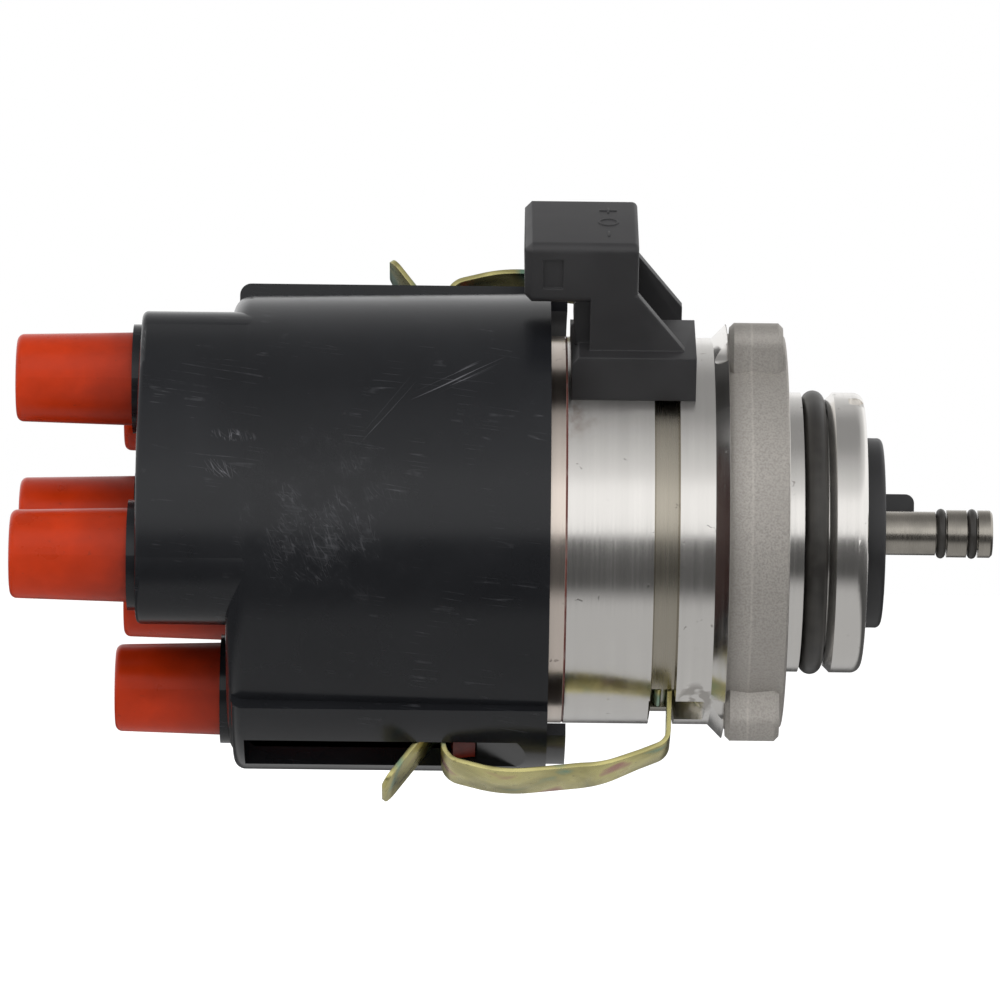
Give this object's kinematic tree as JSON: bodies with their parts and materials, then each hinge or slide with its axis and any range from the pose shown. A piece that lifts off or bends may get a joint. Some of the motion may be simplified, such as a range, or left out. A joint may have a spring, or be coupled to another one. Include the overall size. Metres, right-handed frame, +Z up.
{
  "type": "ignition distributor",
  "caption": "Ignition distributor: red cap with raised and low lead towers under a black shield, spring clips, machined body, flange, sealed spigot, drive coupling and plug.",
  "frame": {"origin": "on the shaft axis, at the engine side face of the flange", "axes": "+X along the shaft towards the drive coupling, +Z up as it is shown, -Y the side it is shown from"},
  "size_m": [0.1689, 0.082, 0.1034],
  "materials": {
    "cast_aluminium": "machined and rough cast",
    "steel": "ground",
    "passivated_steel": "yellow passivated",
    "black_rubber": "satin",
    "black_steel": "matte black",
    "bronze": "sintered",
    "brass": "plain",
    "black_plastic": "matte",
    "shield_plastic": "glossy, lightly scratched",
    "red_plastic": "glossy",
    "carbon": "carbon brush"
  },
  "bodies": {
    "body": {"housing": "cast_aluminium", "body_ring": "black_rubber", "lower_bush": "bronze", "upper_bush": "bronze", "shaft_seal": "black_rubber", "base_plate": "steel", "plate_screw_1": "steel", "plate_screw_2": "steel", "hall_sender": "black_plastic", "connector": "black_plastic", "contact_pin_1": "brass", "contact_pin_2": "brass", "contact_pin_3": "brass", "dust_cover": "black_plastic", "cap": "red_plastic", "cap_terminal_1": "brass", "cap_terminal_2": "brass", "cap_terminal_3": "brass", "cap_terminal_4": "brass", "cap_terminal_5": "brass", "centre_terminal": "brass", "brush_spring": "steel", "shield": "shield_plastic", "lower_clip_pin": "steel", "upper_clip_pin": "steel", "cap_tower_1": "red_plastic", "cap_tower_2": "red_plastic", "cap_tower_3": "red_plastic", "cap_tower_4": "red_plastic", "cap_tower_5": "red_plastic", "cap_centre_tower": "red_plastic"},
    "shaft_train": {"shaft": "steel", "pilot_ring_1": "black_rubber", "pilot_ring_2": "black_rubber", "drive_coupling": "black_steel", "cross_pin": "steel", "lower_washer": "steel", "upper_washer": "steel", "trigger_wheel": "steel", "wheel_clip": "steel", "rotor": "red_plastic", "rotor_blade": "brass"},
    "lower_clip": {"lower_clip": "passivated_steel"},
    "upper_clip": {"upper_clip": "passivated_steel"},
    "brush": {"brush": "carbon"}
  },
  "joints": [
    {"name": "shaft_spin", "type": "hinge", "parent": "body", "child": "shaft_train", "pos_m": [0, 0, 0], "axis": [1, 0, 0], "continuous": true},
    {"name": "lower_clip_swing", "type": "hinge", "parent": "body", "child": "lower_clip", "pos_m": [-0.0208, -0.01113, -0.02754], "axis": [0, -0.9272, 0.3746], "range_deg": [0, 45]},
    {"name": "upper_clip_swing", "type": "hinge", "parent": "body", "child": "upper_clip", "pos_m": [-0.0208, 0.01113, 0.02754], "axis": [0, 0.9272, -0.3746], "range_deg": [0, 45]},
    {"name": "brush_slide", "type": "slide", "parent": "body", "child": "brush", "axis": [-1, 0, 0], "range_m": [0, 0.002], "stiffness_N_per_m": 250, "springref_m": -0.004, "deforming": ["brush_spring"]}
  ]
}
